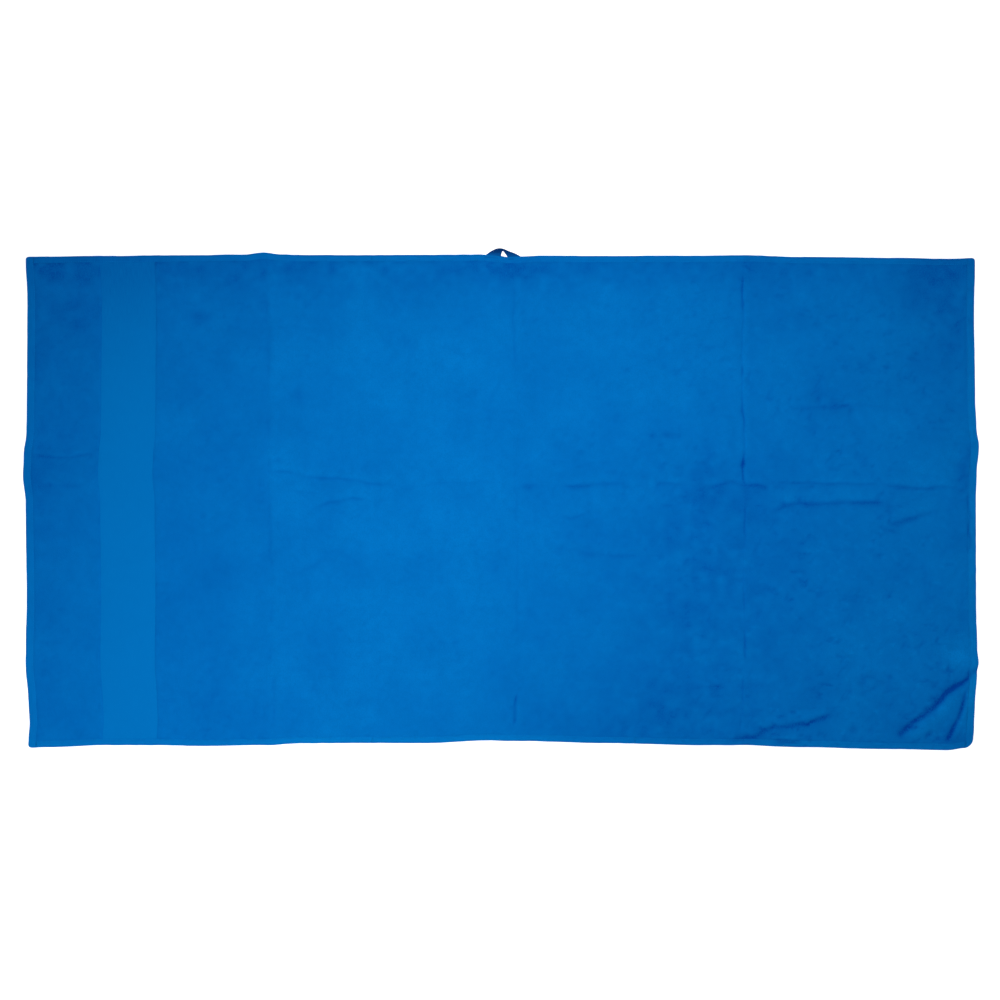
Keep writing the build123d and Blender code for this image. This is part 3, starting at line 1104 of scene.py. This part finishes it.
def weave_group() -> bpy.types.NodeTree:
    """Plain weave: threads that pass over and under each other.

    Height is half plus half the sine across the warp times the sine across the weft. Tone is that height, as
    painted shade where threads pass under, with slubs added, as noise drawn out along the weft.
    """
    inputs = {
        "Flat": ("NodeSocketVector", None),
        "Warp": ("NodeSocketFloat", 0.0008),
        "Weft": ("NodeSocketFloat", 0.0008),
    }
    g, given = new_group("flat weave", inputs, ["Height", "Tone"])
    place = g.add("SeparateXYZ", {0: given["Flat"]}).outputs
    across = g.math("SINE", g.math("DIVIDE", g.math("MULTIPLY", place[0], math.pi), given["Warp"]))
    along = g.math("SINE", g.math("DIVIDE", g.math("MULTIPLY", place[1], math.pi), given["Weft"]))
    height = g.math("ADD", 0.5, g.math("MULTIPLY", 0.5, g.math("MULTIPLY", across, along)))
    drawn_out = g.add("VectorMath", {0: given["Flat"], 1: (900.0, 70.0, 1.0)}, operation="MULTIPLY")
    slubs = g.noise(drawn_out.outputs[0], 1.0, 2.0)
    # Painted shade where threads pass under, and slubs
    tone = g.math("ADD", g.math("MULTIPLY", height, 0.4), g.math("MULTIPLY", slubs, 0.6))
    return finish_group(g, {"Height": height, "Tone": tone})


def lie_group() -> bpy.types.NodeTree:
    """How pressed cloth lies: patches a hand wide and a finger wide where the fibres lean either way."""
    g, given = new_group("lie of the cloth", {"Flat": ("NodeSocketVector", None)}, ["Tone"])
    wide = g.noise(given["Flat"], 14.0, 2.0)
    narrow = g.noise(given["Flat"], 75.0, 4.0, 0.65)
    tone = g.math("ADD", g.math("MULTIPLY", wide, 0.4), g.math("MULTIPLY", narrow, 0.6))
    return finish_group(g, {"Tone": tone})


@dataclass(frozen=True)
class Finish:
    """What a piece is made of.

    Attributes:
        name: the material's name.
        low, high: its darkest and lightest usual colours.
        painted_shade_colour: its colour where painted shade darkens it, as down in a groove.
        painted_highlight_colour: its colour where painted highlight lightens it, as where the pile leans
            towards the light.
        roughness, gloss: of the fibres.
        sheen, sheen_colour: of the fuzz.
        pattern: the group that gives height and tone.
        sizes: the pattern's own inputs, in metres.
        relief: how deep the pattern is, in metres.
        lie: how much the lie of the cloth counts in the colour.
    """

    name: str
    low: Colour
    high: Colour
    painted_shade_colour: Colour
    painted_highlight_colour: Colour
    roughness: float
    gloss: float
    sheen: float
    sheen_colour: Colour
    pattern: str
    sizes: dict[str, float]
    relief: float
    lie: float = 0.5

    def material(self, groups: dict[str, bpy.types.NodeTree]) -> bpy.types.Material:
        """Build the material.

        Tone picks between low and high, the painted shade attribute with the pattern's grain in it draws that
        to the painted shade or painted highlight colour, and height feeds the bump.
        """
        made = bpy.data.materials.new(self.name)
        made.use_nodes = True
        made.node_tree.nodes.clear()
        g = Graph(made.node_tree)
        flat = g.add("UVMap", uv_map="flat").outputs[0]
        pattern = g.add("Group", node_tree=groups[self.pattern])
        lie = g.add("Group", node_tree=groups["lie of the cloth"])
        for node in (pattern, lie):
            made.node_tree.links.new(flat, node.inputs["Flat"])
        for key, value in self.sizes.items():
            pattern.inputs[key].default_value = value
        fine = g.math("MULTIPLY", pattern.outputs["Tone"], 1 - self.lie)
        tone = g.spread(g.math("ADD", fine, g.math("MULTIPLY", lie.outputs["Tone"], self.lie)), 0.3, 0.7)
        grain = g.spread(pattern.outputs["Tone"], 0.25, 0.75, 0.5, 1.5)
        shade = g.math("MULTIPLY", g.add("Attribute", attribute_name="shade").outputs["Fac"], grain)
        usual = g.mix(tone, self.low, self.high)
        # Painted shade draws the colour to the painted shade colour, and painted highlight to the painted
        # highlight colour
        darker = g.mix(g.spread(shade, 0.0, 1.0, 0.0, 0.92), usual, self.painted_shade_colour)
        colour = g.mix(g.spread(shade, 0.0, -1.0), darker, self.painted_highlight_colour)
        bump = g.add("Bump", {"Height": pattern.outputs["Height"], "Strength": 0.6, "Distance": self.relief})
        shader = g.add("BsdfPrincipled", {
            "Base Color": colour, "Roughness": self.roughness, "Specular IOR Level": self.gloss,
            "Specular Tint": (*self.sheen_colour, 1.0), "Sheen Weight": self.sheen, "Sheen Roughness": 0.5,
            "Sheen Tint": (*self.sheen_colour, 1.0), "Normal": bump.outputs[0],
        })
        g.add("OutputMaterial", {"Surface": shader.outputs[0]})
        return made


FUZZ = (0.02, 0.35, 1.0)
# The colours of painted shade and of painted highlight on the blue cloth
PAINTED_SHADE_BLUE = (0.0, 0.034, 0.27)
PAINTED_HIGHLIGHT_BLUE = (0.001, 0.25, 0.72)
PILE_SIZES = {"Loop": 0.0019}
WEAVE_SIZES = {"Warp": 0.0009, "Weft": 0.0007}
THREAD_SIZES = {"Warp": 0.0004, "Weft": 0.0004}

TERRY = Finish(
    "blue_terry", (0.0003, 0.122, 0.412), (0.0006, 0.158, 0.505), PAINTED_SHADE_BLUE, PAINTED_HIGHLIGHT_BLUE, 0.95, 0.05, 0.25, FUZZ,
    "looped pile", PILE_SIZES, 0.0006, 0.5,
)
FLAT_WEAVE = Finish(
    "flat_weave", (0.0004, 0.160, 0.485), (0.0006, 0.176, 0.522), PAINTED_SHADE_BLUE, PAINTED_HIGHLIGHT_BLUE, 0.85, 0.06, 0.12, FUZZ,
    "flat weave", WEAVE_SIZES, 0.00022, 0.35,
)
HEM_CLOTH = Finish(
    "hem_cloth", (0.0005, 0.145, 0.460), (0.0008, 0.176, 0.525), PAINTED_SHADE_BLUE, PAINTED_HIGHLIGHT_BLUE, 0.9, 0.06, 0.15, FUZZ,
    "flat weave", WEAVE_SIZES, 0.00025, 0.4,
)
HEM_THREAD = Finish(
    "hem_thread", (0.0005, 0.13, 0.43), (0.0008, 0.17, 0.52), PAINTED_SHADE_BLUE, PAINTED_HIGHLIGHT_BLUE, 0.6, 0.12, 0.0, FUZZ,
    "flat weave", THREAD_SIZES, 0.0001, 0.2,
)
TACK_THREAD = Finish(
    "bar_tack_thread", (0.0003, 0.05, 0.22), (0.0006, 0.08, 0.30), PAINTED_SHADE_BLUE, PAINTED_HIGHLIGHT_BLUE, 0.55, 0.12, 0.0, FUZZ,
    "flat weave", THREAD_SIZES, 0.0001, 0.2,
)
# The tape's third and fourth colours are its painted shade and painted highlight
NAVY_TAPE = Finish(
    "navy_tape", (0.0006, 0.022, 0.115), (0.001, 0.045, 0.19), (0.0, 0.010, 0.06), (0.001, 0.095, 0.36),
    0.7, 0.12, 0.1, (0.1, 0.4, 1.0), "flat weave", {"Warp": 0.0006, "Weft": 0.0015}, 0.0003, 0.2,
)


# ---- The towel, put together ----


@dataclass
class Towel:
    """The whole towel: its cloth, hems, stitching and loop.

    Attributes:
        cloth: the cloth's sizes and lie.
        materials: each finish's material by name.
        joins: where the terry is divided, away from every fold.
        cut_left, cut_right: where the hems are divided, away from every fold.
        corner_round: the usual radius of a corner, and those of the left and right plain corners.
    """

    cloth: Cloth
    materials: dict[str, bpy.types.Material]
    joins: tuple[float, float, float, float] = (-270.0, -30.0, 200.0, 440.0)
    cut_left: float = -190.0
    cut_right: float = 200.0
    corner_round: tuple[float, float, float] = (5.0, 6.0, 13.0)

    def patches(self) -> list[ClothPatch]:
        """Divide the cloth's length into the border and six stretches of terry, with no cut at a fold."""
        start, end = self.cloth.border
        left, centre_left, centre_right, right = (
            Body.LEFT_QUARTER, Body.CENTRE_LEFT, Body.CENTRE_RIGHT, Body.RIGHT_QUARTER,
        )
        far = self.cloth.terry_end + TUCK
        past_left, before_middle, past_middle, past_right = self.joins
        return [
            ClothPatch("terry_by_left_hem", -far, start + LAP, ("terry_left_end",), (left,)),
            ClothPatch("border_band", start, end, ("dobby_border",), (left,), is_border=True),
            ClothPatch(
                "terry_over_left_crease", end - LAP, past_left, ("terry_left_quarter",), (left, centre_left),
                "left_fold",
            ),
            ClothPatch(
                "terry_left_of_middle", past_left, before_middle, ("terry_centre_left",), (centre_left,)
            ),
            ClothPatch(
                "terry_over_middle_crease", before_middle, past_middle, ("terry_centre_right",),
                (centre_left, centre_right), "centre_fold",
            ),
            ClothPatch(
                "terry_over_right_crease", past_middle, past_right, ("terry_right_quarter",),
                (centre_right, right), "right_fold",
            ),
            ClothPatch("terry_by_right_hem", past_right, far, ("terry_right_quarter",), (right,)),
        ]

    def hem_stretches(self) -> list[tuple[str, float, float, tuple[Body, Body], str, tuple[str, ...]]]:
        """List a side hem's stretches: name, start, end, the bodies it joins, its fold and its panels."""
        far = self.cloth.terry_end + HEM_OVERRUN
        return [
            (
                "left", -far, self.cut_left, (Body.LEFT_QUARTER, Body.CENTRE_LEFT), "left_fold",
                ("left_quarter",),
            ),
            (
                "middle", self.cut_left, self.cut_right, (Body.CENTRE_LEFT, Body.CENTRE_RIGHT), "centre_fold",
                ("centre_left",),
            ),
            (
                "right", self.cut_right, far, (Body.CENTRE_RIGHT, Body.RIGHT_QUARTER), "right_fold",
                ("centre_right", "right_quarter"),
            ),
        ]

    def build_side_hems(self, hem: Hem) -> list[bpy.types.Object]:
        """Build both side hems and their seams, a stretch at a time."""
        made = []
        cloth_made, thread = self.materials["hem_cloth"], self.materials["hem_thread"]
        for side in Side:
            edge = side.name.lower()
            for name, start, end, bodies, fold, panels in self.hem_stretches():
                folds = [fine_stretch(self.cloth, fold)]
                strip = hem.along_side(f"{edge}_hem_{name}", side, start, end, folds, cloth_made)
                middle_u = np.arange(start + hem.pitch / 2, end, hem.pitch)
                middle_v = np.full_like(middle_u, side.value * (self.cloth.terry_side + hem.seam_inset))
                row = hem.stitches(
                    f"{edge}_stitches_{name}", middle_u, middle_v, True, self.cloth.side_hem, thread
                )
                for piece, kind, slot in ((strip, "hem", "hem_cloth"), (row, "seam", "hem_thread")):
                    hang(piece, bodies, fold)
                    hand_over(piece, slot, *(f"{edge}_{kind}_{panel}" for panel in panels))
                made += [strip, row]
        return made

    def build_end_hems(self, hem: Hem) -> list[bpy.types.Object]:
        """Build both end hems and their seams; the plain corner of the right end is the most rounded."""
        made = []
        cloth_made, thread = self.materials["hem_cloth"], self.materials["hem_thread"]
        reach = self.cloth.half_width - SEAM_STOP
        usual, left_plain, right_plain = self.corner_round
        ends = (
            ("left", -1, (left_plain, usual), Body.LEFT_QUARTER),
            ("right", 1, (right_plain, usual), Body.RIGHT_QUARTER),
        )
        for name, direction, rounds, body in ends:
            strip = hem.across_end(f"{name}_end_hem", direction, rounds, cloth_made)
            middle_v = np.arange(-reach, reach, hem.pitch)
            middle_u = np.full_like(middle_v, direction * (self.cloth.terry_end + hem.seam_inset))
            row = hem.stitches(
                f"{name}_end_stitches", middle_u, middle_v, False, self.cloth.end_hem, thread
            )
            for piece, kind, slot in ((strip, "hem", "hem_cloth"), (row, "seam", "hem_thread")):
                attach(piece, body.value)
                hand_over(piece, slot, f"end_{kind}_{name}")
            made += [strip, row]
        return made

    def build_bar_tacks(self, hem: Hem) -> list[bpy.types.Object]:
        """Build a zigzag of close stitches over each sewn end of the tape."""
        made = []
        for name in ("left", "right"):
            low, high = corners_of(f"loop_bar_tack_{name}")
            middle_u = np.arange(low[0], high[0], TACK_PITCH)
            zigzag = TACK_SWING * (2 * (np.arange(len(middle_u)) % 2) - 1)
            middle_v = (low[1] + high[1]) / 2 + zigzag
            row = hem.stitches(
                f"loop_bar_tack_stitches_{name}", middle_u, middle_v, False, self.cloth.side_hem,
                self.materials["bar_tack_thread"],
            )
            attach(row, Body.CENTRE_LEFT.value)
            hand_over(row, "bar_tack_thread", f"loop_bar_tack_{name}")
            made.append(row)
        return made

    def build(self) -> None:
        """Build every piece."""
        hem = Hem(self.cloth)
        trimmings = self.build_side_hems(hem) + self.build_end_hems(hem) + self.build_bar_tacks(hem)
        trimmings.append(HangingLoop().build(self.cloth, self.materials["navy_tape"]))
        for patch in self.patches():
            material = self.materials["flat_weave" if patch.is_border else "blue_terry"]
            piece = patch.build(self.cloth, material)


# ---- The studio ----


@dataclass(frozen=True)
class Lamp:
    """A square soft box that faces straight down: the ground point under it, its power, height and side."""

    name: str
    over: Point
    power: float
    height: float = 0.9
    size: float = 0.8

    def hang(self) -> None:
        """Add the lamp."""
        data = bpy.data.lights.new(self.name, "AREA")
        data.shape, data.size, data.energy = "SQUARE", self.size, self.power
        lamp = bpy.data.objects.new(self.name, data)
        lamp.location = (*self.over, self.height)
        bpy.context.scene.collection.objects.link(lamp)


@dataclass
class Studio:
    """A white floor, soft lamps, an even white surround and a camera straight above.

    Attributes:
        framed: the width of ground that the camera takes in, in metres.
        lens, sensor: the camera's, in millimetres.
        aim: the ground point under the camera.
        floor_size: the floor's side.
        surround: how bright the surround is low down, and from its turn upwards.
        turn: the heights, as the sine of the angle above the ground, between which it changes.
        lamps: the soft boxes.
    """

    framed: float = 1.477
    lens: float = 85.0
    sensor: float = 36.0
    aim: Point = (-0.0012, 0.0008)
    floor_size: float = 14.0
    surround: Point = (0.85, 0.12)
    turn: Point = (0.22, 0.45)
    lamps: tuple[Lamp, ...] = (
        Lamp("key_lamp", (0.08, 0.22), 7.0),
        Lamp("near_lamp", (-0.50, -0.65), 6.3),
        Lamp("far_lamp", (1.2, -0.19), 3.4),
        Lamp("left_lamp", (-0.95, 0.15), 1.4),
    )

    def floor_material(self) -> bpy.types.Material:
        """Make a white floor that gives a little light of its own."""
        made = bpy.data.materials.new("studio_floor")
        made.use_nodes = True
        shader = made.node_tree.nodes["Principled BSDF"]
        shader.inputs["Base Color"].default_value = (0.9, 0.9, 0.9, 1.0)
        shader.inputs["Roughness"].default_value = 0.8
        shader.inputs["Specular IOR Level"].default_value = 0.2
        shader.inputs["Emission Color"].default_value = (1.0, 1.0, 1.0, 1.0)
        shader.inputs["Emission Strength"].default_value = 0.65
        return made

    def build(self) -> None:
        """Lay the floor, hang the lamps, light the surround and place the camera."""
        half = self.floor_size / 2
        mesh = bpy.data.meshes.new("studio_floor")
        corners = [(-half, -half, 0), (half, -half, 0), (half, half, 0), (-half, half, 0)]
        mesh.from_pydata(corners, [], [(0, 1, 2, 3)])
        mesh.materials.append(self.floor_material())
        floor = bpy.data.objects.new("studio_floor", mesh)
        bpy.context.scene.collection.objects.link(floor)
        for lamp in self.lamps:
            lamp.hang()
        world = bpy.data.worlds.new("studio_surround")
        world.use_nodes = True
        g = Graph(world.node_tree)
        up = g.add("SeparateXYZ", {0: g.add("TexCoord").outputs["Generated"]}).outputs[2]
        background = world.node_tree.nodes["Background"]
        background.inputs["Color"].default_value = (1.0, 1.0, 1.0, 1.0)
        strength = g.spread(up, *self.turn, *self.surround)
        world.node_tree.links.new(strength, background.inputs["Strength"])
        scene = bpy.context.scene
        scene.world = world
        scene.view_settings.view_transform = "Standard"
        data = bpy.data.cameras.new("camera")
        data.lens, data.sensor_width = self.lens, self.sensor
        camera = bpy.data.objects.new("camera", data)
        camera.location = (*self.aim, self.framed * self.lens / self.sensor)
        scene.collection.objects.link(camera)
        scene.camera = camera


def main() -> None:
    """Build the studio, the finishes and the towel."""
    Studio().build()
    groups = {tree.name: tree for tree in (pile_group(), weave_group(), lie_group())}
    finishes = (TERRY, FLAT_WEAVE, HEM_CLOTH, HEM_THREAD, TACK_THREAD, NAVY_TAPE)
    Towel(Cloth.from_frame(), {f.name: f.material(groups) for f in finishes}).build()


if __name__ == "__main__":
    logging.basicConfig(level=logging.INFO, format="%(name)s %(message)s", stream=sys.stdout)
    main()
